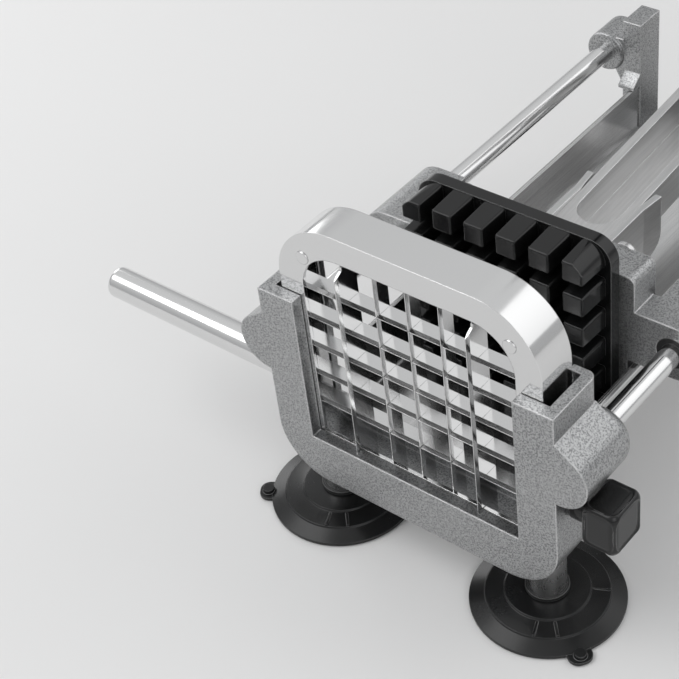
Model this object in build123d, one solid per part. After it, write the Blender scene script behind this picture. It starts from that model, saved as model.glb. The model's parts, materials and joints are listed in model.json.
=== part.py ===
from build123d import *
from math import acos, atan, atan2, cos, degrees, sin
import os

# Bench-top potato chip cutter: two castings joined by a pair of guide rods and a sheet trough, a lift-out
# blade cartridge in the front casting, and a push block on a carriage that a hand lever drives.
# Millimetres, +Z up. X = 0 is the middle, Y = 0 the front face of the front casting and Z = 0 the table.
# The potato is pushed towards -Y; "left" is -X.

# ---- clearances
running_gap = 0.05          # shaft in its bush, per side
seat_gap = 0.02             # pin, bush or screw seated in its hole, per side
slide_gap = 0.3             # cartridge in its slot, in front of the ring
ring_rear_gap = 0.9         # cartridge in its slot, behind the ring
notch_gap = 0.05            # half-lap joint of two blades, per side
stop_gap = 0.6              # left between pins and blades at the end of the stroke

# ---- cutting grid
cell_pitch = 12.7
cells = 6
grid_bottom = 39.8
blade_thickness = 0.9
blade_depth = 6.7
blade_edge = 1.6            # depth of the sharpened bevel
edge_half = 0.1             # half the width of the cutting edge
long_blade_reach = 3.7      # how far the two outer upright blades stand forward of the others
long_blade_slope = 2.1

grid_half = cell_pitch * cells / 2
grid_mid = grid_bottom + grid_half
blade_lines = [(k - cells / 2) * cell_pitch for k in range(1, cells)]
cell_lines = [(k + 0.5 - cells / 2) * cell_pitch for k in range(cells)]

# ---- blade cartridge: folded D-shaped ring
ring_sheet = 1.4
ring_border = 9.8
ring_side_margin = 3.4      # from the grid to the ring's inner edge
ring_top_margin = 4.6
ring_depth = 15.6
ring_corner = 24.0
ring_inner_corner = 16.0
ring_low_corner = 8.0
rivet_radius = 2.5
rivet_head = 0.5
rivet_x = 40.0
rivet_below_top = 13.3

ring_inner_half = grid_half + ring_side_margin
ring_half = ring_inner_half + ring_border
ring_inner_top = grid_bottom + 2 * grid_half + ring_top_margin
ring_top = ring_inner_top + ring_border
ring_bottom = grid_bottom - ring_border
rivet_z = ring_top - rivet_below_top

# ---- front casting
front_bar = 4.5
back_bar = 2.7
back_bar_inner = 49.6
post_inner = 43.2
post_side_wall = 4.0        # metal between the slot and the outer side of a post
post_top = 100.3
casting_bottom = 20.5
leg_round = 20.0            # outer lower corners
leg_side_depth = 16.4       # side face of a leg, before its rear corner is cut off
leg_back = 53.6             # half width of the rear face of the legs
post_round = 3.0
slot_side_gap = 2.7         # room beside the cartridge in its slot
lobe_radius = 11.2
lobe_length = 28.0
lobe_end_round = 6.0
lobe_flat_height = 14.2     # from the rod to where the flat on top of a lobe meets the side of the post
ledge_half = 32.0
ledge_length = 12.0
ledge_thickness = 8.0

slot_front = front_bar
slot_back = slot_front + slide_gap + ring_depth + ring_rear_gap
slot_outer = ring_half + slot_side_gap
post_outer = slot_outer + post_side_wall
front_depth = slot_back + back_bar
ring_front = slot_front + slide_gap
blade_front = ring_front + ring_sheet
blade_back = blade_front + blade_depth

# ---- guide rods
rod_radius = 3.8
rod_x = 58.4
rod_z = 75.8
rod_front = 5.0
rod_rear_cover = 4.5        # metal left behind the rod in the rear casting

lobe_shoulder = rod_z + lobe_flat_height

# ---- trough
trough_sheet = 0.8
trough_half = 44.0
trough_top = 63.5
trough_bend = 5.0
hem_radius = 1.2

trough_floor = grid_bottom + trough_sheet
trough_front = slot_back + slide_gap

# ---- push block
pin_tip = 7.7
pin_base = 8.8
pin_length = 12.7
pin_round = 1.1
pin_edge = 0.7
block_corner = 8.0
pin_field_corner = 7.0
block_plate = 4.8
block_side_margin = 2.15    # from the outer pins to the edge of the plate
block_top_margin = 0.25
block_floor_gap = 0.8
pin_front = 50.0

pin_field_half = grid_half - (cell_pitch - pin_base) / 2
block_half = pin_field_half + block_side_margin
block_bottom = trough_floor + block_floor_gap
block_top = grid_mid + pin_field_half + block_top_margin
plate_front = pin_front + pin_length
carriage_front = plate_front + block_plate

# ---- carriage casting
carriage_half = 44.0
carriage_top = 100.3
carriage_thickness = 13.0
carriage_step = 66.0        # height where the casting narrows to enter the trough
carriage_side_gap = 1.7     # room in the trough beside the narrow part
carriage_bottom = 46.0
carriage_round = 3.0
sleeve_inner = 47.0
sleeve_radius = 10.8
sleeve_length = 32.5
shoulder_depth = 11.5
bush_wall = 2.2
bush_length = 9.0

carriage_low_half = trough_half - trough_sheet - carriage_side_gap
carriage_back = carriage_front + carriage_thickness
sleeve_back = carriage_front + sleeve_length
bush_radius = rod_radius + running_gap + bush_wall

# ---- stroke and lever
stroke_forward = pin_front - blade_back - stop_gap
stroke_back = 80.0
pivot_z = 26.0
pivot_radius = 6.0
pin_height = 90.0           # cross pin above the lever's pivot
cross_pin_radius = 5.0
cross_pin_end = 4.0         # beyond the lever plates
clip_gap = 1.0
clip_sheet = 1.5
clip_wall = 4.0
slot_play = 2.0             # room beside the cross pin, for the constant lever ratio
lever_turn = 0.912 / pin_height     # radians for each millimetre of stroke

stroke_middle = (stroke_back - stroke_forward) / 2
pin_z = pivot_z + pin_height
lever_lean = degrees(lever_turn * stroke_middle)
half_stroke = (stroke_back + stroke_forward) / 2
slot_near = pin_height - slot_play
slot_far = (pin_height ** 2 + half_stroke ** 2) ** 0.5 + slot_play

# ---- push arm, a channel open at the top
arm_half = 11.75
arm_wall = 3.4
arm_web = 3.0
arm_depth = 12.0
arm_top = 77.6              # top edge where the arm meets the carriage
arm_rise = 0.0769           # upward slope towards the rear
arm_solid = 27.5            # closed stretch behind the carriage
ear_radius = 10.0
ear_lead = 30.0             # length over which the side walls climb to the ears
bracket_sheet = 2.5
bracket_bottom = 57.5
bracket_top = 81.5
bracket_length = 51.5
bracket_foot = 15.0
bracket_round = 9.0
bracket_bend = 41.5         # from the foot to the line where the plate turns outwards
bracket_flare = 1.2

# ---- lever
plate_gap = 1.0             # each side, between arm and lever plates
lever_sheet = 4.0
lever_half_width = 12.0
lever_rear_gap = 13.5       # from the rear casting to the round end of the lever
lever_corner = 8.0
lug_gap = 1.0
tube_radius = 12.7
tube_wall = 2.0
tube_end = 296.0            # distances along the lever are from its pivot
tube_clearance = 3.0
plate_overlap = 44.0
grip_radius = 16.5
grip_start = 190.0
grip_end = 302.0
grip_collar = 2.0
grip_collar_length = 5.0
hub_radius = 10.0
lever_bolt_radius = 4.0

plate_inner = arm_half + plate_gap
plate_outer = plate_inner + lever_sheet
cross_pin_reach = plate_outer + cross_pin_end
tube_start = slot_far + ear_radius + tube_clearance
plates_end = tube_start + plate_overlap

# ---- rear casting
rear_front = 212.4
rear_thickness = 14.1
rear_top = 91.5
rear_post_inner = 42.6
rear_post_outer = 50.8
rear_base_half = 55.0
rear_base_round = 12.0
rear_lobe_radius = 8.3
rear_lobe_reach = 1.6       # lobes standing forward of the posts
rear_lobe_round = 1.2
bridge_top = 83.0           # web between post and lobe
web_low = 62.0
web_notch_x = 54.5
web_notch_z = 69.0
hold_down_reach = 5.0       # small lug over each hem of the trough
hold_down_low = 1.7
hold_down_high = 5.7
lug_thickness = 7.0
lug_radius = 11.0
shaft_end = 2.0             # thread beyond the nut

rear_back = rear_front + rear_thickness
pivot_y = rear_back + lever_rear_gap + lever_half_width
cross_pin_y = pivot_y - stroke_middle
lug_inner = plate_outer + lug_gap
lug_outer = lug_inner + lug_thickness

# ---- feet
foot_x = 44.5
foot_y = 13.0
stem_radius = 6.7
stem_top = 28.0
cup_radius = 26.8
cup_height = 6.0
cup_lip = 2.3
cup_edge = 1.2
cup_hollow = 2.2
cup_steps = [(21.5, 3.4, 3.9), (14.8, 5.0, 5.5)]    # radius, height outside and inside each step
cup_neck = 9.5
spigot_radius = 3.0
spigot_depth = 2.2
tab_reach = 31.5
tab_width = 9.0
tab_turn = 34.0             # degrees from the X axis
collar_radius = 7.6
collar_height = 1.4

rear_foot_y = rear_front + rear_thickness / 2

# ---- side bar and clamp
bar_y = 12.0
bar_z = 56.5
bar_radius = 6.0
bar_length = 89.0
bar_end_round = 2.0
bar_spigot_radius = 4.0
clamp_screw_radius = 4.0
clamp_tip_gap = 0.1
clamp_y = 11.2
knob_gap = 6.0              # from the post's side to the knob
knob_length = 13.5
knob_width = 16.6
knob_height = 18.4
knob_round = 4.0
knob_neck_radius = 5.5
knob_neck = 5.0

# ---- screws
screw_radius = 2.5
screw_head_radius = 4.5
screw_head = 3.0
sink_radius = 4.1
sink_depth = 1.6
sunk_screw_cover = 1.0      # metal left below the end of a countersunk screw
blind_extra = 0.5           # a blind hole's depth beyond its screw
block_screw_radius = 2.0
block_screw_head_radius = 4.0
block_screw_head = 2.4
block_screw_depth = 10.0
block_screw_rows = (1, 4)   # pin rows, counted from the bottom, that hold a screw
block_screw_column = 31.75
arm_bolt_radius = 3.0
bracket_screw_x = 20.5
bracket_screw_margin = 6.0
bracket_screw_length = 11.0
arm_bolt_head = 5.5
arm_bolt_head_height = 3.0
lever_bolt_head = 7.5
lever_bolt_head_height = 5.0
trough_screw_x = 22.0
set_screw_radius = 2.5
nut_radius = 9.5
nut_height = 8.0


def block(x0, x1, y0, y1, z0, z1):
    return Pos((x0 + x1) / 2, (y0 + y1) / 2, (z0 + z1) / 2) * Box(x1 - x0, y1 - y0, z1 - z0)


def round_x(radius, x0, x1, y, z):
    return Pos((x0 + x1) / 2, y, z) * Rot(0, 90, 0) * Cylinder(radius, x1 - x0)


def round_y(radius, y0, y1, x, z):
    return Pos(x, (y0 + y1) / 2, z) * Rot(90, 0, 0) * Cylinder(radius, y1 - y0)


def round_z(radius, z0, z1, x, y):
    return Pos(x, y, (z0 + z1) / 2) * Cylinder(radius, z1 - z0)


def slab(outline, y0, y1):
    # an outline drawn in X and Z, given a thickness along Y
    return extrude(Plane.XZ.offset(-y0) * outline, y1 - y0, dir=(0, 1, 0))


def side_slab(outline, x0, x1):
    # an outline drawn in Y and Z, given a thickness along X
    return extrude(Plane.YZ.offset(x0) * outline, x1 - x0, dir=(1, 0, 0))


def mirrored(solid):
    return mirror(solid, about=Plane.YZ)


def pair(solid):
    return [solid, mirrored(solid)]


def save(name, *solids):
    shape = solids[0] if len(solids) == 1 else Compound(children=list(solids))
    export_step(shape, f"parts/{name}.step")


def bowl(half_width, bottom, top, corner):
    # upright rectangle with rounded lower corners
    sheet = Pos(0, (top + bottom) / 2) * Rectangle(2 * half_width, top - bottom)
    return fillet(sheet.vertices().group_by(Axis.Y)[0], corner)


def arch(half_width, bottom, top, corner):
    # upright rectangle with rounded upper corners
    sheet = Pos(0, (top + bottom) / 2) * Rectangle(2 * half_width, top - bottom)
    return fillet(sheet.vertices().group_by(Axis.Y)[-1], corner)


def hexagon_x(radius, x0, x1, y, z):
    return side_slab(Pos(y, z) * RegularPolygon(radius, 6), x0, x1)


def pan_screw(radius, head_radius, head, length, seat):
    # axis +Z out of the head, the head's underside at the location given by seat
    body = Pos(0, 0, head / 2) * Cylinder(head_radius, head)
    body = fillet(body.edges().group_by(Axis.Z)[-1], head * 0.4)
    return seat * (body + Pos(0, 0, -length / 2) * Cylinder(radius, length))


def sunk_screw(extra, x, y, length):
    # countersunk screw, flush with the trough floor; extra widens it into its own hole
    low = trough_floor - sink_depth
    cone = Pos(x, y, low + sink_depth / 2) * Cone(screw_radius + extra, sink_radius + extra, sink_depth)
    return cone + round_z(screw_radius + extra, trough_floor - length, low, x, y)


# ---- places used by more than one piece
foot_places = [(sx * foot_x, y) for y in (foot_y, rear_foot_y) for sx in (1, -1)]
ledge_bottom = grid_bottom - ledge_thickness
front_screw_y = front_depth + ledge_length / 2
rear_screw_y = rear_front - ledge_length / 2
sunk_places = [(sx * trough_screw_x, y) for y in (front_screw_y, rear_screw_y) for sx in (1, -1)]
sunk_length = ledge_thickness - sunk_screw_cover
set_screw_front = (slot_back + lobe_length) / 2
set_screw_rear = rear_front + rear_thickness * 0.4
rod_back = rear_back - rod_rear_cover


def set_screw(y, radius):
    return round_z(set_screw_radius, rod_z - radius, rod_z - rod_radius, rod_x, y)


def set_screw_hole(y, radius):
    return round_z(set_screw_radius + seat_gap, rod_z - radius - 1, rod_z, rod_x, y)


def stem_holes(y):
    return [round_z(stem_radius + seat_gap, casting_bottom - 1, stem_top, sx * foot_x, y) for sx in (1, -1)]


def rod_lobe(radius, y0, y1, rounded_face, end_round):
    lobe = round_y(radius, y0, y1, rod_x, rod_z)
    return fillet(lobe.edges().group_by(Axis.Y)[rounded_face], end_round)


def lobe_flat():
    # flat that runs from the side of the post down to the round of the lobe
    across, up = post_outer - rod_x, lobe_shoulder - rod_z
    turn = atan2(up, across) - acos(lobe_radius / (across ** 2 + up ** 2) ** 0.5)
    touch = (rod_x + lobe_radius * cos(turn), rod_z + lobe_radius * sin(turn))
    outline = Polygon((post_outer - 1, rod_z), (rod_x, rod_z), touch, (post_outer, lobe_shoulder),
                      (post_outer - 1, lobe_shoulder), align=None)
    return slab(outline, 0, lobe_length - lobe_end_round + 1)


# ---- front casting: a U whose posts hold the cartridge in a slot open at the top
def front_casting():
    body = slab(bowl(post_outer, casting_bottom, post_top, leg_round), 0, front_depth)
    body = fillet(body.edges().filter_by(Axis.Z).group_by(Axis.Y)[-1], post_round)
    cut = Polygon((post_outer, leg_side_depth), (post_outer + 1, leg_side_depth),
                  (post_outer + 1, front_depth + 1), (leg_back, front_depth + 1), (leg_back, front_depth),
                  align=None)
    for corner in pair(Pos(0, 0, casting_bottom) * extrude(cut, rod_z - casting_bottom, dir=(0, 0, 1))):
        body -= corner
    for lobe in pair(rod_lobe(lobe_radius, 0, lobe_length, -1, lobe_end_round) + lobe_flat()):
        body += lobe
    body += block(-ledge_half, ledge_half, front_depth, front_depth + ledge_length, ledge_bottom, grid_bottom)
    above = post_top + 1
    body -= slab(bowl(slot_outer, ring_bottom, above, ring_low_corner + slot_side_gap), slot_front, slot_back)
    body -= block(-post_inner, post_inner, -1, slot_front, grid_bottom, above)
    body -= block(-back_bar_inner, back_bar_inner, slot_back, front_depth, grid_bottom, above)
    for hole in stem_holes(foot_y):
        body -= hole
    for hole in pair(round_y(rod_radius + seat_gap, rod_front, lobe_length, rod_x, rod_z)):
        body -= hole
    for hole in pair(set_screw_hole(set_screw_front, lobe_radius)):
        body -= hole
    for x, y in sunk_places[:2]:
        body -= sunk_screw(seat_gap, x, y, sunk_length + blind_extra)
    body -= round_x(bar_spigot_radius + seat_gap, -post_outer, -slot_outer, bar_y, bar_z)
    body -= round_x(clamp_screw_radius + running_gap, slot_outer, post_outer, clamp_y, bar_z)
    return body


# ---- rear casting: two narrow posts on a cross-member, with lugs for the lever behind it
def rear_post():
    web = Polygon((rear_post_outer - 1, web_low), (rear_post_outer, web_low), (web_notch_x, web_notch_z),
                  (rod_x, web_notch_z), (rod_x, bridge_top), (rear_post_outer - 1, bridge_top), align=None)
    lug = Polygon((rear_front, trough_top + slide_gap), (rear_front, trough_top + hold_down_high),
                  (rear_front - hold_down_reach, trough_top + hold_down_low),
                  (rear_front - hold_down_reach, trough_top + slide_gap), align=None)
    return (block(rear_post_inner, rear_post_outer, rear_front, rear_back, ledge_bottom, rear_top)
            + rod_lobe(rear_lobe_radius, rear_front - rear_lobe_reach, rear_back, 0, rear_lobe_round)
            + slab(web, rear_front, rear_back) + side_slab(lug, rear_post_inner, rear_post_outer - 1))


def lever_lug():
    side = Polygon((rear_back - 1, casting_bottom), (pivot_y, pivot_z - lug_radius),
                   (pivot_y, pivot_z + lug_radius), (rear_back - 1, grid_bottom), align=None)
    return side_slab(side + Pos(pivot_y, pivot_z) * Circle(lug_radius), lug_inner, lug_outer)


def rear_casting():
    body = slab(bowl(rear_base_half, casting_bottom, grid_bottom, rear_base_round), rear_front, rear_back)
    body += block(-ledge_half, ledge_half, rear_front - ledge_length, rear_front, ledge_bottom, grid_bottom)
    for side in pair(rear_post()) + pair(lever_lug()):
        body += side
    for hole in stem_holes(rear_foot_y):
        body -= hole
    for hole in pair(round_y(rod_radius + seat_gap, rear_front - rear_lobe_reach, rod_back, rod_x, rod_z)):
        body -= hole
    for hole in pair(set_screw_hole(set_screw_rear, rear_lobe_radius)):
        body -= hole
    for x, y in sunk_places[2:]:
        body -= sunk_screw(seat_gap, x, y, sunk_length + blind_extra)
    return body - round_x(pivot_radius + seat_gap, -lug_outer, lug_outer, pivot_y, pivot_z)


# ---- trough: folded sheet with rolled hems
def trough():
    section = bowl(trough_half, grid_bottom, trough_top, trough_bend) \
        - bowl(trough_half - trough_sheet, trough_floor, trough_top, trough_bend - trough_sheet)
    hem_x = trough_half + hem_radius - trough_sheet
    for sx in (1, -1):
        section += Pos(sx * hem_x, trough_top - hem_radius) * Circle(hem_radius)
    body = slab(section, trough_front, rear_front)
    for x, y in sunk_places:
        body -= sunk_screw(seat_gap, x, y, sunk_length)
    return body


# ---- feet: stems, collars and suction cups
def cup(x, y):
    (r1, low1, high1), (r2, low2, high2) = cup_steps
    bore = spigot_radius + seat_gap
    seat = cup_height - spigot_depth
    outline = Plane.XZ * Polygon((cup_radius, 0), (cup_radius, cup_edge), (r1, low1), (r1, high1),
                                 (r2, low2), (r2, high2), (cup_neck, cup_height), (bore, cup_height),
                                 (bore, seat), (0, seat), (0, cup_hollow), (cup_radius - cup_lip, 0),
                                 align=None)
    body = Pos(x, y, 0) * revolve(outline, Axis.Z)
    turn = tab_turn if x * (y - rear_foot_y / 2) > 0 else -tab_turn
    tab = block(0, tab_reach, -tab_width / 2, tab_width / 2, 0, cup_edge)
    tab = fillet(tab.edges().filter_by(Axis.Z).group_by(Axis.X)[-1], tab_width / 2 - 0.2)
    tab -= round_z(cup_radius - 1, -1, cup_edge + 1, 0, 0)
    return body + Pos(x, y, 0) * Rot(0, 0, turn + (180 if x < 0 else 0)) * tab


def stem(x, y):
    return round_z(stem_radius, cup_height, stem_top, x, y) \
        + round_z(spigot_radius, cup_height - spigot_depth, cup_height, x, y)


def collar(x, y):
    return round_z(collar_radius, cup_height, cup_height + collar_height, x, y) \
        - round_z(stem_radius + seat_gap, cup_height, cup_height + collar_height, x, y)


# ---- blade cartridge: a face plate with a band folded back from it, open below
def blade_ring():
    outer = arch(ring_half, ring_bottom, ring_top, ring_corner)
    inner = arch(ring_inner_half, grid_bottom, ring_inner_top, ring_inner_corner)
    face = fillet(outer.vertices().group_by(Axis.Y)[0], ring_low_corner) - inner
    band_bottom = ring_bottom + ring_low_corner
    band = arch(ring_half, band_bottom, ring_top, ring_corner) \
        - arch(ring_half - ring_sheet, band_bottom, ring_top - ring_sheet, ring_corner - ring_sheet)
    body = slab(face, ring_front, blade_front) + slab(band, ring_front, ring_front + ring_depth)
    for hole in pair(round_y(rivet_radius / 2 + seat_gap, ring_front, blade_front, rivet_x, rivet_z)):
        body -= hole
    return body


def ring_rivet():
    head = round_y(rivet_radius, ring_front - rivet_head, ring_front, rivet_x, rivet_z)
    head = fillet(head.edges().group_by(Axis.Y)[0], rivet_head * 0.9)
    return head + round_y(rivet_radius / 2, ring_front, blade_front, rivet_x, rivet_z) \
        + round_y(rivet_radius * 0.8, blade_front, blade_front + rivet_head, rivet_x, rivet_z)


blade_middle = (blade_front + blade_back) / 2
notch_half = blade_thickness / 2 + notch_gap


def upright_blade(x, y0, y1, z0, z1):
    # a strip that tapers to its front edge at y0
    x0, x1 = x - blade_thickness / 2, x + blade_thickness / 2
    section = Polygon((x0, y1), (x1, y1), (x1, y0 + blade_edge), (x + edge_half, y0), (x - edge_half, y0),
                      (x0, y0 + blade_edge), align=None)
    return Pos(0, 0, z0) * extrude(section, z1 - z0, dir=(0, 0, 1))


def vertical_blade(x):
    half = blade_thickness / 2
    body = upright_blade(x, blade_front, blade_back, ring_bottom + ring_sheet, ring_top - ring_sheet)
    if abs(x) == max(blade_lines):
        tip = blade_front - long_blade_reach
        grid_top = ring_inner_top - ring_top_margin
        body += upright_blade(x, tip, blade_middle, grid_bottom + slide_gap, grid_top + ring_top_margin / 2)
        low, high = grid_top - long_blade_slope / 2, grid_top + long_blade_slope / 2
        slope = Polygon((tip - 1, ring_inner_top), (tip - 1, low), (tip, low), (blade_front, high),
                        (blade_front, ring_inner_top), align=None)
        body -= side_slab(slope, x - half, x + half)
    for line in blade_lines:
        z = grid_mid + line
        body -= block(x - half, x + half, blade_middle - notch_gap, blade_back, z - notch_half, z + notch_half)
    return body


def horizontal_blade(z):
    half = blade_thickness / 2
    reach = ring_half - ring_sheet
    bevel = blade_front + blade_edge
    section = Polygon((blade_back, z - half), (blade_back, z + half), (bevel, z + half),
                      (blade_front, z + edge_half), (blade_front, z - edge_half), (bevel, z - half), align=None)
    body = side_slab(section, -reach, reach)
    notch_end = blade_middle + notch_gap
    for x in blade_lines:
        body -= block(x - notch_half, x + notch_half, blade_front - 1, notch_end, z - half, z + half)
    return body


# ---- push block: a plate with one tapered pin for each cell of the grid
def block_screw_holes():
    depth = carriage_thickness + block_screw_depth + blind_extra
    return [seat * Pos(0, 0, -depth / 2) * Cylinder(block_screw_radius + seat_gap, depth)
            for seat in block_screw_seats()]


def push_plate():
    outline = Pos(0, (block_top + block_bottom) / 2) \
        * RectangleRounded(2 * block_half, block_top - block_bottom, block_corner)
    return slab(outline, plate_front, carriage_front) - block_screw_holes()


def push_pins():
    root = Plane.XZ.offset(-plate_front) * RectangleRounded(pin_base, pin_base, pin_round)
    pin = extrude(root, pin_length, taper=degrees(atan((pin_base - pin_tip) / 2 / pin_length)))
    pin = fillet(pin.edges().group_by(Axis.Y)[0], pin_edge)
    field = slab(Pos(0, grid_mid) * RectangleRounded(2 * pin_field_half, 2 * pin_field_half, pin_field_corner),
                 pin_front - 1, plate_front)
    end = max(cell_lines)
    bored = [cell_lines[row] for row in block_screw_rows]
    pins = []
    for x in cell_lines:
        for line in cell_lines:
            placed = Pos(x, 0, grid_mid + line) * pin
            if abs(x) == end and abs(line) == end:
                placed = placed & field
            if abs(x) == end and line in bored:
                placed = placed - block_screw_holes()
            pins.append(placed)
    return pins


def block_screw_seats():
    heights = [grid_mid + cell_lines[row] for row in block_screw_rows]
    return [Pos(sx * block_screw_column, carriage_back, z) * Rot(-90, 0, 0) for sx in (1, -1) for z in heights]


def bracket_screw_seats():
    heights = (bracket_bottom + bracket_screw_margin, bracket_top - bracket_screw_margin)
    return [Pos(sx * bracket_screw_x, carriage_back + bracket_sheet, z) * Rot(-90, 0, 0)
            for sx in (1, -1) for z in heights]


# ---- carriage casting: an upright plate with a sleeve round each guide rod
def carriage_casting():
    body = block(-carriage_half, carriage_half, carriage_front, carriage_back, carriage_step, carriage_top)
    body = fillet(body.edges().filter_by(Axis.Y).group_by(Axis.Z)[-1], carriage_round)
    low_half = carriage_low_half
    body += block(-low_half, low_half, carriage_front, carriage_back, carriage_bottom, carriage_step)
    sleeve = Polygon((sleeve_inner, rod_z - sleeve_radius), (rod_x, rod_z - sleeve_radius),
                     (rod_x, rod_z + sleeve_radius), (sleeve_inner, rod_z + sleeve_radius), align=None)
    sleeve += Pos(rod_x, rod_z) * Circle(sleeve_radius)
    shoulder = block(0, rod_x, carriage_front, carriage_front + shoulder_depth,
                     rod_z - sleeve_radius, rod_z + sleeve_radius)
    for side in pair(slab(sleeve, carriage_front, sleeve_back) + shoulder):
        body += side
    for bore in pair(round_y(rod_radius + bush_wall * 0.6, carriage_front, sleeve_back, rod_x, rod_z)):
        body -= bore
    for y0 in (carriage_front, sleeve_back - bush_length):
        for bore in pair(round_y(bush_radius + seat_gap, y0, y0 + bush_length, rod_x, rod_z)):
            body -= bore
    for hole in block_screw_holes():
        body -= hole
    depth = bracket_screw_length + blind_extra
    for seat in bracket_screw_seats():
        body -= seat * Pos(0, 0, -depth / 2) * Cylinder(screw_radius + seat_gap, depth)
    return body


def rod_bush(y0):
    return round_y(bush_radius, y0, y0 + bush_length, rod_x, rod_z) \
        - round_y(rod_radius + running_gap, y0, y0 + bush_length, rod_x, rod_z)


# ---- push arm: solid behind the carriage, then a channel whose walls climb to a pair of ears
def arm_edge(y, drop=0.0):
    return (y, arm_top + arm_rise * (y - carriage_back) - drop)


arm_bolt_z = arm_top - (arm_depth + arm_web) / 2
arm_bolt_places = [(carriage_back + arm_solid * f, arm_bolt_z + arm_rise * arm_solid * f) for f in (0.35, 0.72)]


def push_arm():
    end = cross_pin_y + ear_radius
    full = arm_depth + arm_web
    side = Polygon(arm_edge(carriage_back, full), arm_edge(end, full), (end, pin_z),
                   (cross_pin_y - ear_radius, pin_z), arm_edge(cross_pin_y - ear_lead), arm_edge(carriage_back),
                   align=None)
    side += Pos(cross_pin_y, pin_z) * Circle(ear_radius)
    body = side_slab(side, -arm_half, arm_half)
    groove_half = arm_half - arm_wall
    start = carriage_back + arm_solid + groove_half
    above = pin_z + 2 * ear_radius
    hollow = Polygon(arm_edge(carriage_back, arm_depth), arm_edge(end + 1, arm_depth), (end + 1, above),
                     (carriage_back, above), align=None)
    groove = side_slab(hollow, -groove_half, groove_half)
    plan = block(-groove_half, groove_half, start, end + 1, 0, above) + round_z(groove_half, 0, above, 0, start)
    body -= groove & plan
    for y, z in arm_bolt_places:
        body -= round_x(arm_bolt_radius + seat_gap, -arm_half, arm_half, y, z)
    return body - round_x(cross_pin_radius + seat_gap, -arm_half, arm_half, cross_pin_y, pin_z)


def arm_bracket():
    end = carriage_back + bracket_length
    bend = carriage_back + bracket_bend
    outer = arm_half + bracket_sheet
    side = Polygon((carriage_back, bracket_bottom), (end, bracket_bottom), (end, bracket_top),
                   (carriage_back, bracket_top), align=None)
    side = fillet(side.vertices().group_by(Axis.X)[-1].sort_by(Axis.Y)[0], bracket_round)
    plan = Polygon((arm_half, carriage_back), (outer, carriage_back), (outer, bend),
                   (outer + bracket_flare, end), (arm_half + bracket_flare, end), (arm_half, bend), align=None)
    plate = Pos(0, 0, bracket_bottom) * extrude(plan, bracket_top - bracket_bottom, dir=(0, 0, 1))
    body = plate & side_slab(side, arm_half, outer + bracket_flare)
    body += block(arm_half, arm_half + bracket_foot, carriage_back, carriage_back + bracket_sheet,
                  bracket_bottom, bracket_top)
    for seat in bracket_screw_seats()[:2]:
        body -= seat * Pos(0, 0, -bracket_sheet / 2) * Cylinder(screw_radius + seat_gap, bracket_sheet)
    for y, z in arm_bolt_places:
        body -= round_x(arm_bolt_radius + seat_gap, arm_half, arm_half + bracket_sheet, y, z)
    return body


def arm_bolt(y, z):
    face = arm_half + bracket_sheet
    top = face + arm_bolt_head_height
    return round_x(arm_bolt_radius, -face, face, y, z) + hexagon_x(arm_bolt_head, face, top, y, z) \
        + hexagon_x(arm_bolt_head, -top, -face, y, z)


def cross_pin():
    return round_x(cross_pin_radius, -cross_pin_reach, cross_pin_reach, cross_pin_y, pin_z)


def pin_clip():
    x0 = plate_outer + clip_gap
    x1 = x0 + clip_sheet
    return round_x(cross_pin_radius + clip_wall, x0, x1, cross_pin_y, pin_z) \
        - round_x(cross_pin_radius + seat_gap, x0, x1, cross_pin_y, pin_z)


# ---- lever: drawn upright over its pivot, then leaned forward to where it stands at rest
def leaned(solid):
    return Pos(0, pivot_y, pivot_z) * Rot(lever_lean, 0, 0) * solid


lever_bolt_heights = [tube_start + plate_overlap * f for f in (0.25, 0.72)]


def lever_plate():
    outline = Pos(0, plates_end / 2) * Rectangle(2 * lever_half_width, plates_end)
    outline += Circle(lever_half_width)
    outline = fillet(outline.vertices().group_by(Axis.Y)[-1], lever_corner)
    slot = Pos(0, (slot_near + slot_far) / 2) \
        * Rectangle(2 * (cross_pin_radius + slot_play), slot_far - slot_near)
    slot += Pos(0, slot_near) * Circle(cross_pin_radius + slot_play)
    slot += Pos(0, slot_far) * Circle(cross_pin_radius + slot_play)
    body = side_slab(outline - slot, plate_inner, plate_outer)
    body -= round_x(pivot_radius + running_gap, plate_inner, plate_outer, 0, 0)
    for height in lever_bolt_heights:
        body -= round_x(lever_bolt_radius + seat_gap, plate_inner, plate_outer, 0, height)
    return leaned(body)


def lever_hub():
    return leaned(round_x(hub_radius, -plate_inner, plate_inner, 0, 0)
                  - round_x(pivot_radius + running_gap, -plate_inner, plate_inner, 0, 0))


def handle_tube():
    tube = round_z(tube_radius, tube_start, tube_end, 0, 0)
    tube -= round_z(tube_radius - tube_wall, tube_start, tube_end, 0, 0)
    for height in lever_bolt_heights:
        tube -= round_x(lever_bolt_radius + seat_gap, -plate_inner, plate_inner, 0, height)
    return leaned(tube)


def handle_grip():
    grip = round_z(grip_radius, grip_start, grip_end, 0, 0)
    grip = fillet(grip.edges().group_by(Axis.Z)[-1], grip_radius * 0.6)
    grip += round_z(grip_radius + grip_collar, grip_start, grip_start + grip_collar_length, 0, 0)
    return leaned(grip - round_z(tube_radius + seat_gap, grip_start, tube_end + seat_gap, 0, 0))


def lever_bolt(height):
    top = plate_outer + lever_bolt_head_height
    return leaned(round_x(lever_bolt_radius, -plate_outer, plate_outer, 0, height)
                  + hexagon_x(lever_bolt_head, plate_outer, top, 0, height)
                  + hexagon_x(lever_bolt_head, -top, -plate_outer, 0, height))


# ---- pivot bolt of the lever
def lever_shaft():
    return round_x(pivot_radius, -lug_outer - nut_height - shaft_end, lug_outer, pivot_y, pivot_z) \
        + hexagon_x(nut_radius, lug_outer, lug_outer + nut_height, pivot_y, pivot_z)


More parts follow.
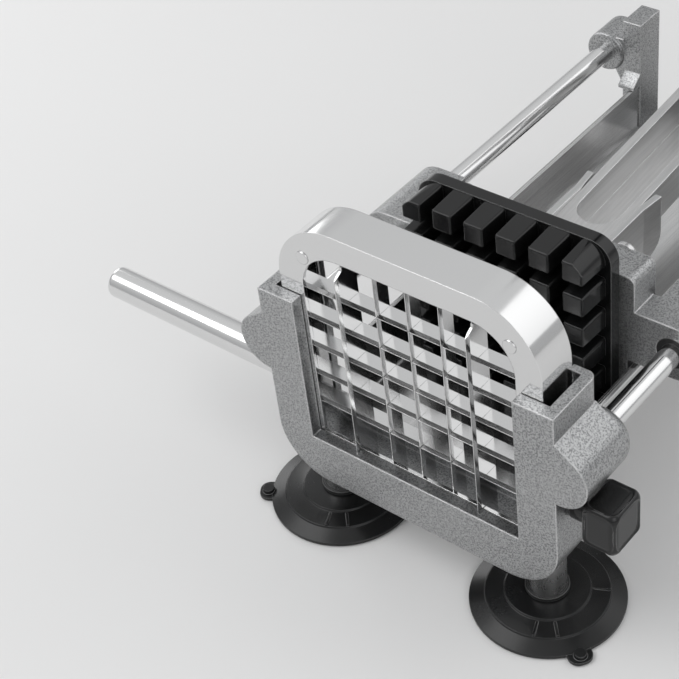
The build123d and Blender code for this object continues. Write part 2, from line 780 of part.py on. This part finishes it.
def shaft_nut():
    return hexagon_x(nut_radius, -lug_outer - nut_height, -lug_outer, pivot_y, pivot_z) \
        - round_x(pivot_radius + seat_gap, -lug_outer - nut_height, -lug_outer, pivot_y, pivot_z)


def pivot_washer():
    x0, x1 = plate_outer + running_gap, lug_inner - running_gap
    return round_x(hub_radius, x0, x1, pivot_y, pivot_z) \
        - round_x(pivot_radius + seat_gap, x0, x1, pivot_y, pivot_z)


# ---- side bar on the left post and clamp on the right one
def side_bar():
    bar = round_x(bar_radius, -post_outer - bar_length, -post_outer, bar_y, bar_z)
    bar = fillet(bar.edges().group_by(Axis.X)[0], bar_end_round)
    return bar + round_x(bar_spigot_radius, -post_outer, -slot_outer, bar_y, bar_z)


knob_start = post_outer + knob_gap
knob_middle = knob_start + knob_length / 2


def clamp_screw():
    return round_x(clamp_screw_radius, ring_half + clamp_tip_gap, knob_middle, clamp_y, bar_z)


def clamp_knob():
    knob = Pos(knob_middle, clamp_y, bar_z) * Box(knob_length, knob_width, knob_height)
    knob = fillet(knob.edges(), knob_round)
    neck_start = knob_start - knob_neck
    knob += round_x(knob_neck_radius, neck_start, knob_middle, clamp_y, bar_z)
    return knob - round_x(clamp_screw_radius + seat_gap, neck_start, knob_middle + seat_gap, clamp_y, bar_z)


os.makedirs("parts", exist_ok=True)
save("front_casting", front_casting())
save("rear_casting", rear_casting())
save("guide_rods", *pair(round_y(rod_radius, rod_front, rod_back, rod_x, rod_z)))
save("rod_set_screws", *pair(set_screw(set_screw_front, lobe_radius)),
     *pair(set_screw(set_screw_rear, rear_lobe_radius)))
save("trough", trough())
save("trough_screws", *[sunk_screw(0, x, y, sunk_length) for x, y in sunk_places])
save("foot_stems", *[stem(x, y) for x, y in foot_places])
save("foot_collars", *[collar(x, y) for x, y in foot_places])
save("suction_cups", *[cup(x, y) for x, y in foot_places])
save("side_bar", side_bar())
save("lever_shaft", lever_shaft())
save("shaft_nut", shaft_nut())
save("pivot_washers", *pair(pivot_washer()))
save("blade_ring", blade_ring())
save("ring_rivets", *pair(ring_rivet()))
save("vertical_blades", *[vertical_blade(x) for x in blade_lines])
save("horizontal_blades", *[horizontal_blade(grid_mid + line) for line in blade_lines])
save("push_plate", push_plate())
save("push_pins", *push_pins())
save("block_screws", *[pan_screw(block_screw_radius, block_screw_head_radius, block_screw_head,
                                 carriage_thickness + block_screw_depth, seat) for seat in block_screw_seats()])
save("carriage_casting", carriage_casting())
save("rod_bushes", *[b for y in (carriage_front, sleeve_back - bush_length) for b in pair(rod_bush(y))])
save("push_arm", push_arm())
save("arm_brackets", *pair(arm_bracket()))
save("bracket_screws", *[pan_screw(screw_radius, screw_head_radius, screw_head, bracket_screw_length, seat)
                         for seat in bracket_screw_seats()])
save("arm_bolts", *[arm_bolt(y, z) for y, z in arm_bolt_places])
save("cross_pin", cross_pin())
save("pin_clips", *pair(pin_clip()))
save("lever_plates", *pair(lever_plate()))
save("lever_hub", lever_hub())
save("handle_tube", handle_tube())
save("handle_grip", handle_grip())
save("lever_bolts", *[lever_bolt(height) for height in lever_bolt_heights])
save("clamp_screw", clamp_screw())
save("clamp_knob", clamp_knob())
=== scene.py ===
import json
from math import cos, pi, radians, sin

import bmesh
import bpy
from mathutils import Matrix, Vector


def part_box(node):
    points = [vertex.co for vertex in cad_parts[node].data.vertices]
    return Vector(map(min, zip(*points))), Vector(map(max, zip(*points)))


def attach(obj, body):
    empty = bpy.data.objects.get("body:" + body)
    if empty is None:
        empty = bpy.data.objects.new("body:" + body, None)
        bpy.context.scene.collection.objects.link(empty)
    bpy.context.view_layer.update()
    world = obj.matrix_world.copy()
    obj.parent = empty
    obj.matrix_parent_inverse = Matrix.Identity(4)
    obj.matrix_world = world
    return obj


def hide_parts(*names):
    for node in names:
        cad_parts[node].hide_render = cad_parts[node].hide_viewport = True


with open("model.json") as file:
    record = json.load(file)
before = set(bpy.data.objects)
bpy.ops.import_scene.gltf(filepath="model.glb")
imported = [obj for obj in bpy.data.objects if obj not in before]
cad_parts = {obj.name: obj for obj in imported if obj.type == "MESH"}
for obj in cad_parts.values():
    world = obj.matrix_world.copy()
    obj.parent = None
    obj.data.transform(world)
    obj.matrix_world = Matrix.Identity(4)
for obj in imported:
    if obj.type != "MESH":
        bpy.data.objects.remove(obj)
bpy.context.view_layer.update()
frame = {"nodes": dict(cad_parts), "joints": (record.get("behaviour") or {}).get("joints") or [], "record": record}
nodes = frame["nodes"]
mm = 0.001
print("frame loaded:", len(nodes), "nodes")


# shading: a socket that does sums, and one call that adds any node
texture = {"noiseRoughness": 0.55, "cellSmoothness": 0.7, "edgeSamples": 4, "edgeTurn": (0.01, 0.16)}
colourMix = {"factor": 0, "first": 6, "second": 7, "result": 2}     # a Mix node's sockets for colours


class Wire:
    def __init__(self, board, socket):
        self.board = board
        self.socket = socket

    def __add__(self, other):
        return self.board.sum("ADD", self, other)

    def __sub__(self, other):
        return self.board.sum("SUBTRACT", self, other)

    def __mul__(self, other):
        return self.board.sum("MULTIPLY", self, other)

    def __rsub__(self, other):
        return self.board.sum("SUBTRACT", other, self)

    __radd__ = __add__
    __rmul__ = __mul__


class Board:
    def __init__(self, owner):     # owner is a new material or world
        self.owner = owner
        owner.use_nodes = True
        self.tree = owner.node_tree
        self.tree.nodes.clear()
        self.softened = {}         # one rounding node for each radius

    def add(self, kind, settings, sockets, output=0):
        node = self.tree.nodes.new(kind)
        for key, value in settings.items():
            setattr(node, key, value)
        for key, value in sockets.items():
            if isinstance(value, Wire):
                self.tree.links.new(value.socket, node.inputs[key])
            else:
                node.inputs[key].default_value = value
        return Wire(self, node.outputs[output]) if len(node.outputs) else None

    def sum(self, operation, a, b):
        return self.add("ShaderNodeMath", {"operation": operation}, {0: a, 1: b})

    def place(self, stretch=(1, 1, 1)):
        spot = self.add("ShaderNodeTexCoord", {}, {}, "Object")
        return self.add("ShaderNodeMapping", {}, {"Vector": spot, "Scale": stretch})

    def noise(self, scale, detail, stretch=(1, 1, 1)):
        sockets = {"Vector": self.place(stretch), "Scale": scale, "Detail": detail,
                   "Roughness": texture["noiseRoughness"]}
        return self.add("ShaderNodeTexNoise", {}, sockets, "Fac")

    def cells(self, scale):
        sockets = {"Vector": self.place(), "Scale": scale, "Smoothness": texture["cellSmoothness"]}
        return self.add("ShaderNodeTexVoronoi", {"feature": "SMOOTH_F1"}, sockets, "Distance")

    def step(self, value, low, high):
        return self.add("ShaderNodeMapRange", {"interpolation_type": "SMOOTHSTEP"},
                        {"Value": value, "From Min": low, "From Max": high})

    def blend(self, factor, first, second):
        sockets = {colourMix["factor"]: factor, colourMix["first"]: first, colourMix["second"]: second}
        return self.add("ShaderNodeMix", {"data_type": "RGBA"}, sockets, colourMix["result"])

    def rounded(self, radius):
        if radius not in self.softened:
            samples = {"samples": texture["edgeSamples"]}
            self.softened[radius] = self.add("ShaderNodeBevel", samples, {"Radius": radius})
        return self.softened[radius]

    def edges(self, radius):       # 1 along outer and inner edges, 0 on flats
        flat = self.add("ShaderNodeNewGeometry", {}, {}, "Normal")
        turned = self.add("ShaderNodeVectorMath", {"operation": "DOT_PRODUCT"},
                          {0: self.rounded(radius), 1: flat}, "Value")
        return self.step(1 - turned, *texture["edgeTurn"])

    def bump(self, height, strength, depth, normal):
        sockets = {"Height": height, "Strength": strength, "Distance": depth, "Normal": normal}
        return self.add("ShaderNodeBump", {}, sockets)

    def finish(self, **inputs):
        sockets = {key.replace("_", " "): value for key, value in inputs.items()}
        shader = self.add("ShaderNodeBsdfPrincipled", {}, sockets)
        self.add("ShaderNodeOutputMaterial", {}, {"Surface": shader})
        return self.owner


def newMaterial(name):
    return Board(bpy.data.materials.new(name))


def grey(value, warm=0.0):
    return (value + warm, value, value - warm, 1)


# finishes, one for each material slot of the record; scales are per metre, depths and radii in metres
castLook = {"grainScale": 1500, "pitScale": 1950, "pitTone": 0.5, "fleckRange": (0.5, 0.9),
            "dark": grey(0.19, -0.003), "light": grey(0.47, -0.004), "patchScale": 38,
            "patchRange": (0.35, 0.75), "patchAmount": 0.2, "patch": grey(0.517), "rough": 0.26,
            "grainRough": 0.16, "metallic": 0.95, "bump": 0.8, "bumpDepth": 0.00012, "pitHeight": 0.6,
            "edge": grey(0.82), "edgeRadius": 0.0008, "edgeRough": 0.1, "edgeMetallic": 0.5}


def castFinish(name, look):
    # cast metal: dark and light flecks, soft patches, edges made smooth and painted bright as a highlight
    board = newMaterial(name)
    grain = board.noise(look["grainScale"], detail=4.0)
    pits = board.cells(look["pitScale"])
    patches = board.step(board.noise(look["patchScale"], detail=2.0), *look["patchRange"])
    edge = board.edges(look["edgeRadius"])
    flecks = board.step(grain + pits * look["pitTone"], *look["fleckRange"])
    shade = board.blend(flecks, look["dark"], look["light"])
    shade = board.blend(patches * look["patchAmount"], shade, look["patch"])
    # painted highlight: edges blended towards a pale grey
    shade = board.blend(edge, shade, look["edge"])
    amount = look["rough"] + grain * look["grainRough"] - edge * look["edgeRough"]
    metallic = look["metallic"] - edge * look["edgeMetallic"]
    height = (grain + pits * look["pitHeight"]) * (1 - edge)
    bump = board.bump(height, look["bump"], look["bumpDepth"], board.rounded(look["edgeRadius"]))
    return board.finish(Base_Color=shade, Roughness=amount, Metallic=metallic, Normal=bump)


sheetLook = {"streakScale": 900, "streakStretch": (1, 0.02, 1), "streakRange": (0.25, 0.8), "dark": 0.9,
             "light": 1.06, "lightWarm": 0.002, "streakRough": 0.05, "smearScale": 26,
             "smearRange": (0.4, 0.8), "smearRough": 0.05, "bump": 0.12, "bumpDepth": 0.00004,
             "edge": grey(0.95), "edgeRough": 0.08, "edgeMetallic": 0.5}


def sheetFinish(name, tone, rough, edgeRadius, look=sheetLook):
    # ground or rolled sheet: long fine streaks, a few soft smears, and a painted highlight along the edges
    board = newMaterial(name)
    streaks = board.noise(look["streakScale"], detail=3.0, stretch=look["streakStretch"])
    smears = board.step(board.noise(look["smearScale"], detail=3.0), *look["smearRange"])
    edge = board.edges(edgeRadius)
    dark = grey(tone * look["dark"])
    light = grey(tone * look["light"], look["lightWarm"])
    shade = board.blend(board.step(streaks, *look["streakRange"]), dark, light)
    # painted highlight: edges blended towards a pale grey
    shade = board.blend(edge, shade, look["edge"])
    amount = rough + streaks * look["streakRough"] + smears * look["smearRough"] - edge * look["edgeRough"]
    metallic = 1 - edge * look["edgeMetallic"]
    bump = board.bump(streaks, look["bump"], look["bumpDepth"], board.rounded(edgeRadius))
    return board.finish(Base_Color=shade, Roughness=amount, Metallic=metallic, Normal=bump)


chromeLook = {"wipeScale": 70, "wipeStretch": (1, 0.3, 1), "wipeRange": (0.45, 0.8), "turningScale": 1500,
              "turningStretch": (0.3, 1, 0.3), "turningRough": 0.03, "edge": grey(0.9), "edgeAmount": 0.6}


def chromeFinish(name, tone, rough, edgeRadius=0.0004, wiped=0.07, look=chromeLook):
    # plated or polished steel: wiped smears, faint turning marks and a painted highlight along the edges
    board = newMaterial(name)
    wipes = board.noise(look["wipeScale"], detail=4.0, stretch=look["wipeStretch"])
    turning = board.noise(look["turningScale"], detail=2.0, stretch=look["turningStretch"])
    # painted highlight: edges blended part way towards a pale grey
    shade = board.blend(board.edges(edgeRadius) * look["edgeAmount"], grey(tone), look["edge"])
    amount = rough + board.step(wipes, *look["wipeRange"]) * wiped + turning * look["turningRough"]
    return board.finish(Base_Color=shade, Roughness=amount, Metallic=1.0, Normal=board.rounded(edgeRadius))


plasticLook = {"cloudScale": 45, "cloudRange": (0.3, 0.8), "dark": 0.8, "light": 1.25, "lightWarm": -0.0005,
               "edge": grey(0.3), "edgeAmount": 0.7, "grainRough": 0.06, "dullRange": (0.4, 0.8),
               "dullRough": 0.05, "specular": 0.4, "bump": 0.3}


def plasticFinish(name, tone, rough, grain, depth, edgeRadius=0.0006, look=plasticLook):
    # moulded plastic or rubber: faint grain, edges painted a little paler as a highlight
    board = newMaterial(name)
    fine = board.noise(grain, detail=3.0)
    cloud = board.noise(look["cloudScale"], detail=3.0)
    dark = grey(tone * look["dark"])
    light = grey(tone * look["light"], look["lightWarm"])
    shade = board.blend(board.step(cloud, *look["cloudRange"]), dark, light)
    # painted highlight: edges blended part way towards grey
    shade = board.blend(board.edges(edgeRadius) * look["edgeAmount"], shade, look["edge"])
    dull = board.step(cloud, *look["dullRange"])
    amount = rough + fine * look["grainRough"] + dull * look["dullRough"]
    bump = board.bump(fine, look["bump"], depth, board.rounded(edgeRadius))
    return board.finish(Base_Color=shade, Roughness=amount, Normal=bump,
                        Specular_IOR_Level=look["specular"])


finishes = {
    "cast_silver": castFinish("castSilver", castLook),
    "chromed_rod": chromeFinish("chromedRod", tone=0.74, rough=0.1),
    "stainless_sheet": sheetFinish("stainlessSheet", tone=0.64, rough=0.18, edgeRadius=0.0005),
    "brushed_stainless": sheetFinish("brushedStainless", tone=0.58, rough=0.26, edgeRadius=0.0006),
    "polished_stainless": chromeFinish("polishedStainless", tone=0.72, rough=0.08, wiped=0.05),
    "blade_steel": chromeFinish("bladeSteel", tone=0.7, rough=0.12, edgeRadius=0.00015, wiped=0.04),
    "steel_fastener": chromeFinish("zincSteel", tone=0.6, rough=0.24),
    "black_plastic": plasticFinish("blackPlastic", tone=0.008, rough=0.1, grain=900, depth=0.00001,
                                   edgeRadius=0.0005),
    "black_nylon": plasticFinish("blackNylon", tone=0.02, rough=0.42, grain=1200, depth=0.00004),
    "black_grip": plasticFinish("blackGrip", tone=0.018, rough=0.5, grain=1500, depth=0.0001),
    "black_rubber": plasticFinish("blackRubber", tone=0.009, rough=0.2, grain=700, depth=0.00002,
                                  edgeRadius=0.0003),
}
for part in frame["record"]["subparts"]:
    mesh = nodes[part["node"]].data
    mesh.materials.clear()
    mesh.materials.append(finishes[part["material_slot"]])
print("finishes set:", len(finishes))


# helpers for the modelled pieces, whose sizes are in mm and turns in degrees
meshing = {"mergeGap": 0.01, "bevelSteps": 3}


def shiftAll(bm, by):
    bmesh.ops.translate(bm, verts=bm.verts, vec=by)


def smooth(share):                 # 0 to 1, level at both ends
    return share * share * (3 - 2 * share)


def makePiece(bm, name, slotName, body, *stoodFor, sharp, bevel=0.0):
    bmesh.ops.remove_doubles(bm, verts=bm.verts, dist=meshing["mergeGap"] * mm)
    bmesh.ops.recalc_face_normals(bm, faces=bm.faces)
    mesh = bpy.data.meshes.new(name)
    bm.to_mesh(mesh)
    bm.free()
    mesh.shade_smooth()
    mesh.set_sharp_from_angle(angle=radians(sharp))
    piece = bpy.data.objects.new(name, mesh)
    bpy.context.collection.objects.link(piece)
    piece.data.materials.append(finishes[slotName])
    if bevel:
        soften = piece.modifiers.new("soften", "BEVEL")
        soften.width = bevel * mm
        soften.segments = meshing["bevelSteps"]
        soften.limit_method = "ANGLE"
        soften.angle_limit = radians(sharp)
        soften.harden_normals = True
    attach(piece, body)
    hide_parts(*stoodFor)


def turnProfile(points, steps):
    # points are (radius, height) in mm, and end on the axis or where they began
    bm = bmesh.new()
    rim = [bm.verts.new((r * mm, 0, h * mm)) for r, h in points]
    loop = [bm.edges.new((a, b)) for a, b in zip(rim, rim[1:])]
    bmesh.ops.spin(bm, geom=rim + loop, cent=(0, 0, 0), axis=(0, 0, 1), dvec=(0, 0, 0), angle=2 * pi,
                   steps=steps, use_merge=True, use_duplicate=False)
    return bm


def joinTo(bm, other, move):
    bmesh.ops.transform(other, matrix=move, verts=other.verts)
    mesh = bpy.data.meshes.new("temporary")
    other.to_mesh(mesh)
    other.free()
    bm.from_mesh(mesh)
    bpy.data.meshes.remove(mesh)


# suction cups: a swell is how far the slope outside a step bulges out and up; a rib is its angle and width
cup = {"radius": 26.8, "rim": 1.2, "lip": 2.3, "hollow": 2.2, "hollowWaist": (0.6, 0.72), "neck": 9.5,
       "height": 6.0, "bore": 3.02, "boreDepth": 2.2, "stepLean": 0.3, "sides": 96, "ringRadius": 7.6,
       "steps": ({"radius": 21.5, "foot": 3.3, "top": 3.9, "swell": (2.2, 0.15)},
                 {"radius": 14.8, "foot": 4.9, "top": 5.5, "swell": (2.0, 0.05)}),
       "ribs": ((-69, 0.9), (-47, 0.9), (32, 0.6)), "ribHeight": 0.9, "ribGap": 0.6, "tabTurn": 34,
       "tabReach": 31.4, "tabWidth": 8.6, "tabOverlap": 1.5, "tabRound": 0.42, "tabSteps": 8,
       "nubRadius": 2.5, "nubHeight": 2.6, "nubTaper": 0.85, "nubInset": 0.8, "nubLift": 0.1,
       "nubSides": 24, "sharp": 12, "bevel": 0.18}
corners = (("FrontRight", 1, -1), ("FrontLeft", -1, -1), ("RearRight", 1, 1), ("RearLeft", -1, 1))


def cupOutline(c):
    # from the hollow's middle, out under the lip, up over the rim and the steps, and into the bore
    waistOut, waistUp = c["hollowWaist"]
    points = [(0, c["hollow"]), (c["radius"] * waistOut, c["hollow"] * waistUp),
              (c["radius"] - c["lip"], 0), (c["radius"], 0), (c["radius"], c["rim"])]
    for step in c["steps"]:
        swellOut, swellUp = step["swell"]
        points.append((step["radius"] + swellOut, (step["foot"] + points[-1][1]) / 2 + swellUp))
        points.append((step["radius"], step["foot"]))
        points.append((step["radius"] - c["stepLean"], step["top"]))
    boreEnd = c["height"] - c["boreDepth"]
    return points + [(c["neck"], c["height"]), (c["bore"], c["height"]), (c["bore"], boreEnd), (0, boreEnd)]


def cupTab(c):
    # a flat tab, its two outer corners rounded
    bm = bmesh.new()
    bmesh.ops.create_cube(bm, size=1)
    inner = c["radius"] - c["tabOverlap"]
    length = c["tabReach"] - inner
    bmesh.ops.scale(bm, vec=(length * mm, c["tabWidth"] * mm, c["rim"] * mm), verts=bm.verts)
    upright = [edge for edge in bm.edges if edge.verts[0].co.z * edge.verts[1].co.z < 0]
    outer = [edge for edge in upright if edge.verts[0].co.x > 0]
    bmesh.ops.bevel(bm, geom=outer, offset=c["tabWidth"] * c["tabRound"] * mm, offset_type="OFFSET",
                    segments=c["tabSteps"], profile=0.5, affect="EDGES", material=-1)
    shiftAll(bm, ((inner + length / 2) * mm, 0, c["rim"] / 2 * mm))
    return bm


def cupNub(c):
    bm = bmesh.new()
    low = c["nubRadius"] * mm
    bmesh.ops.create_cone(bm, segments=c["nubSides"], radius1=low, radius2=low * c["nubTaper"],
                          depth=c["nubHeight"] * mm, cap_ends=True)
    reach = c["tabReach"] - c["nubRadius"] - c["nubInset"]
    shiftAll(bm, (reach * mm, 0, (c["nubHeight"] / 2 + c["nubLift"]) * mm))
    return bm


def cupRib(c, width):
    # a low bar on the ledge between the two steps
    outer, inner = c["steps"]
    length = outer["radius"] - inner["radius"] - c["ribGap"]
    bm = bmesh.new()
    bmesh.ops.create_cube(bm, size=1)
    bmesh.ops.scale(bm, vec=(length * mm, width * mm, c["ribHeight"] * mm), verts=bm.verts)
    middle = (outer["radius"] + inner["radius"]) / 2
    shiftAll(bm, (middle * mm, 0, (outer["top"] + inner["foot"]) / 2 * mm))
    return bm


def cupShape(c, sideX, sideY):
    bm = turnProfile(cupOutline(c), c["sides"])
    turn = radians(c["tabTurn"]) * sideX * sideY + (pi if sideX < 0 else 0)     # away from the middle
    joinTo(bm, cupTab(c), Matrix.Rotation(turn, 4, "Z"))
    joinTo(bm, cupNub(c), Matrix.Rotation(turn, 4, "Z"))
    for angle, width in c["ribs"]:
        joinTo(bm, cupRib(c, width), Matrix.Rotation(radians(angle), 4, "Z"))
    return bm


def makeCups(c):
    # the collars' box gives the four places
    low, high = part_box("foot_collars")
    ring = c["ringRadius"] * mm
    for name, sideX, sideY in corners:
        x = high.x - ring if sideX > 0 else low.x + ring
        y = high.y - ring if sideY > 0 else low.y + ring
        bm = cupShape(c, sideX, sideY)
        shiftAll(bm, (x, y, 0))
        makePiece(bm, "cup" + name, "black_rubber", "base", "suction_cups",
                  sharp=c["sharp"], bevel=c["bevel"])


makeCups(cup)
print("suction cups made")


# clamp knob: its dishes run out between the two shares of the half width that border gives
knob = {"corner": 3.2, "cuts": 47, "dish": 0.8, "border": (0.74, 0.84), "squareness": 5, "neckRadius": 5.5,
        "neckLength": 5.0, "neckOverlap": 1, "neckSides": 48, "sharp": 50}


def scoop(k, spot, half):
    # a rounded box, its faces dished inside a rim with rounded corners
    corner = k["corner"] * mm
    core = Vector([max(-h + corner, min(h - corner, v)) for v, h in zip(spot, half)])
    out = (spot - core).normalized()
    spot = core + out * corner
    side = max(range(3), key=lambda axis: abs(out[axis]))
    across = [abs(spot[axis]) / half[axis] for axis in range(3) if axis != side]
    reach = sum(v ** k["squareness"] for v in across) ** (1 / k["squareness"])
    start, stop = k["border"]
    sink = max(0.0, min(1.0, (stop - reach) / (stop - start)))
    inward = -1 if out[side] > 0 else 1
    spot[side] += inward * k["dish"] * mm * smooth(sink)
    return spot


def makeKnob(k):
    low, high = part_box("clamp_knob")
    start = low.x + k["neckLength"] * mm
    middle = Vector(((start + high.x) / 2, (low.y + high.y) / 2, (low.z + high.z) / 2))
    half = Vector(((high.x - start) / 2, (high.y - low.y) / 2, (high.z - low.z) / 2))
    bm = bmesh.new()
    bmesh.ops.create_cube(bm, size=2)
    bmesh.ops.subdivide_edges(bm, edges=bm.edges[:], cuts=k["cuts"], use_grid_fill=True)
    for vert in bm.verts:
        vert.co = scoop(k, Vector([v * h for v, h in zip(vert.co, half)]), half)
    neck = bmesh.new()
    length = k["neckLength"] + k["neckOverlap"]
    radius = k["neckRadius"] * mm
    bmesh.ops.create_cone(neck, segments=k["neckSides"], radius1=radius, radius2=radius,
                          depth=length * mm, cap_ends=True)
    shift = low.x + length / 2 * mm - middle.x
    joinTo(bm, neck, Matrix.Translation((shift, 0, 0)) @ Matrix.Rotation(pi / 2, 4, "Y"))
    shiftAll(bm, middle)
    makePiece(bm, "knobGrip", "black_plastic", "clamp_knob", "clamp_knob", sharp=k["sharp"])


makeKnob(knob)
print("knob made")


# lever grip: heights run along the lever from its pivot
grip = {"lean": 12.627, "start": 190.0, "end": 302.0, "radius": 16.5, "bore": 12.72, "boreEnd": 296.02,
        "collar": 2.0, "collarLength": 5.0, "collarRound": 1.0, "collarFall": 1.2, "grooves": 13,
        "firstGroove": 206.0, "groovePitch": 6.4, "grooveWidth": 3.0, "grooveDepth": 0.9, "grooveSteps": 6,
        "endRound": 9.5, "endSteps": 8, "sides": 72, "sharp": 60}


def gripOutline(g):
    # up the collar, the grooves and the round end, then down the bore
    outer = g["radius"] + g["collar"]
    top = g["start"] + g["collarLength"]
    points = [(g["bore"], g["start"]), (outer - g["collarRound"], g["start"]),
              (outer, g["start"] + g["collarRound"]), (outer, top - g["collarRound"]),
              (outer - g["collarRound"], top), (g["radius"], top + g["collarFall"])]
    for groove in range(g["grooves"]):
        height = g["firstGroove"] + groove * g["groovePitch"]
        for part in range(g["grooveSteps"] + 1):
            depth = g["grooveDepth"] * (1 - cos(2 * pi * part / g["grooveSteps"])) / 2
            points.append((g["radius"] - depth, height + part * g["grooveWidth"] / g["grooveSteps"]))
    for part in range(g["endSteps"] + 1):
        turn = part / g["endSteps"] * pi / 2
        inward = g["endRound"] * (1 - cos(turn))
        below = g["endRound"] * (1 - sin(turn))
        points.append((g["radius"] - inward, g["end"] - below))
    return points + [(0, g["end"]), (0, g["boreEnd"]), (g["bore"], g["boreEnd"]), (g["bore"], g["start"])]


def makeGrip(g):
    bm = turnProfile(gripOutline(g), g["sides"])
    lean = Matrix.Rotation(radians(g["lean"]), 4, "X")
    pivot = next(joint for joint in frame["joints"] if joint["name"] == "lever_swing")["pos_m"]
    bmesh.ops.transform(bm, matrix=Matrix.Translation(pivot) @ lean, verts=bm.verts)
    makePiece(bm, "leverGrip", "black_grip", "lever", "handle_grip", sharp=g["sharp"])


makeGrip(grip)
print("grip made")


# floor, sky, lamps and camera, in metres
ground = {"tone": grey(0.78, 0.002), "mottle": grey(0.81, 0.002), "mottleScale": 3, "rough": 0.6,
          "size": 12.0, "drop": 0.0004}


def makeFloor(g):
    bm = bmesh.new()
    bmesh.ops.create_grid(bm, x_segments=1, y_segments=1, size=g["size"])
    mesh = bpy.data.meshes.new("floor")
    bm.to_mesh(mesh)
    bm.free()
    floor = bpy.data.objects.new("floor", mesh)
    bpy.context.collection.objects.link(floor)
    floor.location.z = -g["drop"]
    board = newMaterial("paleFloor")
    tone = board.blend(board.noise(g["mottleScale"], detail=2.0), g["tone"], g["mottle"])
    mesh.materials.append(board.finish(Base_Color=tone, Roughness=g["rough"]))


sky = {"horizon": grey(0.5, -0.005), "zenith": grey(0.74, -0.005), "fade": (0.05, 0.8), "light": 0.82}


def makeSky(s):
    # full strength where the camera or a mirror sees it, a little less as a light
    board = Board(bpy.data.worlds.new("studio"))
    direct = board.add("ShaderNodeLightPath", {}, {}, "Is Camera Ray")
    mirrored = board.add("ShaderNodeLightPath", {}, {}, "Is Glossy Ray")
    through = board.add("ShaderNodeLightPath", {}, {}, "Is Transmission Ray")
    seen = board.sum("MAXIMUM", board.sum("MAXIMUM", direct, mirrored), through)
    strength = s["light"] + seen * (1 - s["light"])
    spot = board.add("ShaderNodeTexCoord", {}, {}, "Generated")
    height = board.add("ShaderNodeSeparateXYZ", {}, {"Vector": spot}, "Z")
    tone = board.blend(board.step(height, *s["fade"]), s["horizon"], s["zenith"])
    light = board.add("ShaderNodeBackground", {}, {"Color": tone, "Strength": strength})
    board.add("ShaderNodeOutputWorld", {}, {"Surface": light})
    bpy.context.scene.world = board.owner


lampAim = (0, 0.09, 0.08)
lamps = (("key", (-0.8, -0.7, 1.5), 1.3, 11), ("fill", (1.3, -0.6, 0.9), 1.0, 3.5),
         ("rim", (0.9, 1.1, 1.0), 1.3, 3.5), ("strip", (-1.2, 0.5, 0.5), 0.6, 2.5))     # place, size, watts


def makeLamp(name, place, size, power):
    data = bpy.data.lights.new(name, "AREA")
    data.size = size
    data.energy = power
    lamp = bpy.data.objects.new(name, data)
    bpy.context.collection.objects.link(lamp)
    lamp.location = place
    lamp.rotation_euler = (Vector(place) - Vector(lampAim)).to_track_quat("Z", "Y").to_euler()


view = {"place": (0.2667, -0.2982, 0.4512), "azimuth": 44.26, "elevation": 40.66, "roll": -7.91,
        "lens": 90.74, "sensor": 36, "clipStart": 0.01}


def makeCamera(v):
    data = bpy.data.cameras.new("camera")
    data.lens = v["lens"]
    data.sensor_width = v["sensor"]
    data.clip_start = v["clipStart"]
    camera = bpy.data.objects.new("camera", data)
    bpy.context.collection.objects.link(camera)
    turn = Matrix.Rotation(radians(v["azimuth"]), 4, "Z")
    turn = turn @ Matrix.Rotation(radians(90 - v["elevation"]), 4, "X")
    turn = turn @ Matrix.Rotation(radians(v["roll"]), 4, "Z")
    camera.matrix_world = Matrix.Translation(v["place"]) @ turn
    bpy.context.scene.camera = camera


makeFloor(ground)
makeSky(sky)
for lamp in lamps:
    makeLamp(*lamp)
makeCamera(view)
bpy.context.scene.view_settings.view_transform = "Standard"
print("studio set")
